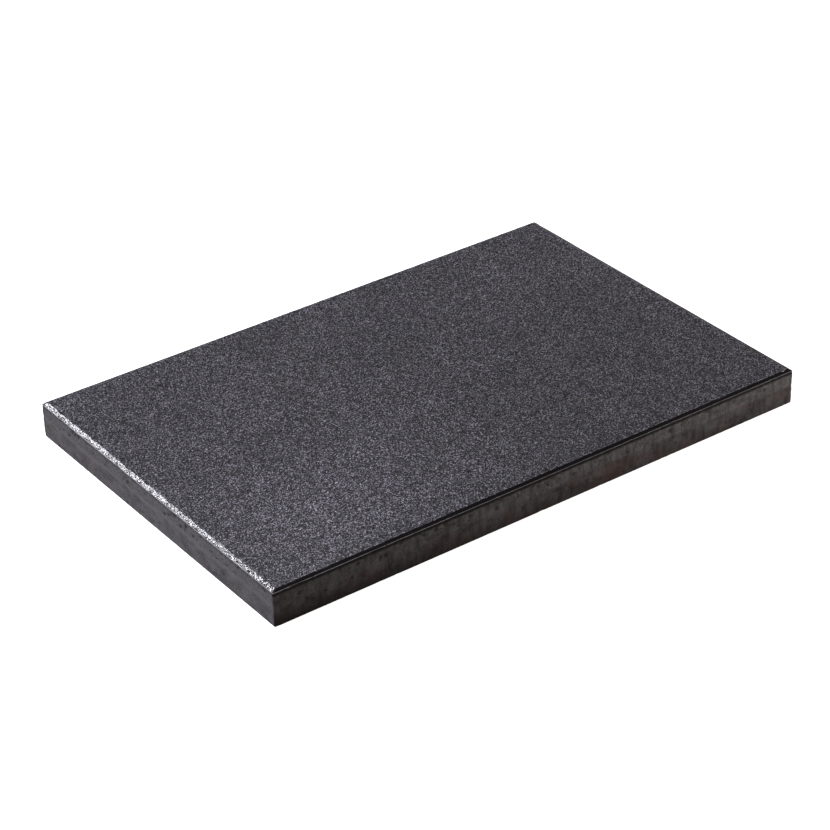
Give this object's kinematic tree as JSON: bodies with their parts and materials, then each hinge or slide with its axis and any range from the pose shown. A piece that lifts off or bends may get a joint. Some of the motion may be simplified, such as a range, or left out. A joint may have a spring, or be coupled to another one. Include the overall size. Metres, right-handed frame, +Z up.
{
  "type": "basalt stone slab",
  "caption": "Flat rectangular dark basalt-grain slab with a bevelled top rim, a dense facing course bonded over a plainer backing course.",
  "frame": {"origin": "centre of the bed face, the flat underside the slab lies on", "axes": "+Z up through the thickness from the bed face to the bevelled top face; +X along the length; +Y along the width"},
  "size_m": [0.6, 0.4, 0.038],
  "materials": {
    "facing_stone": "coarse fine-grained anthracite facing, pressed and lightly sealed, semi-gloss",
    "backing_stone": "denser, smoother moulded side with pale and brownish blotches, matt"
  },
  "bodies": {
    "root": {"facing_course": "facing_stone", "backing_course": "backing_stone"}
  },
  "joints": []
}
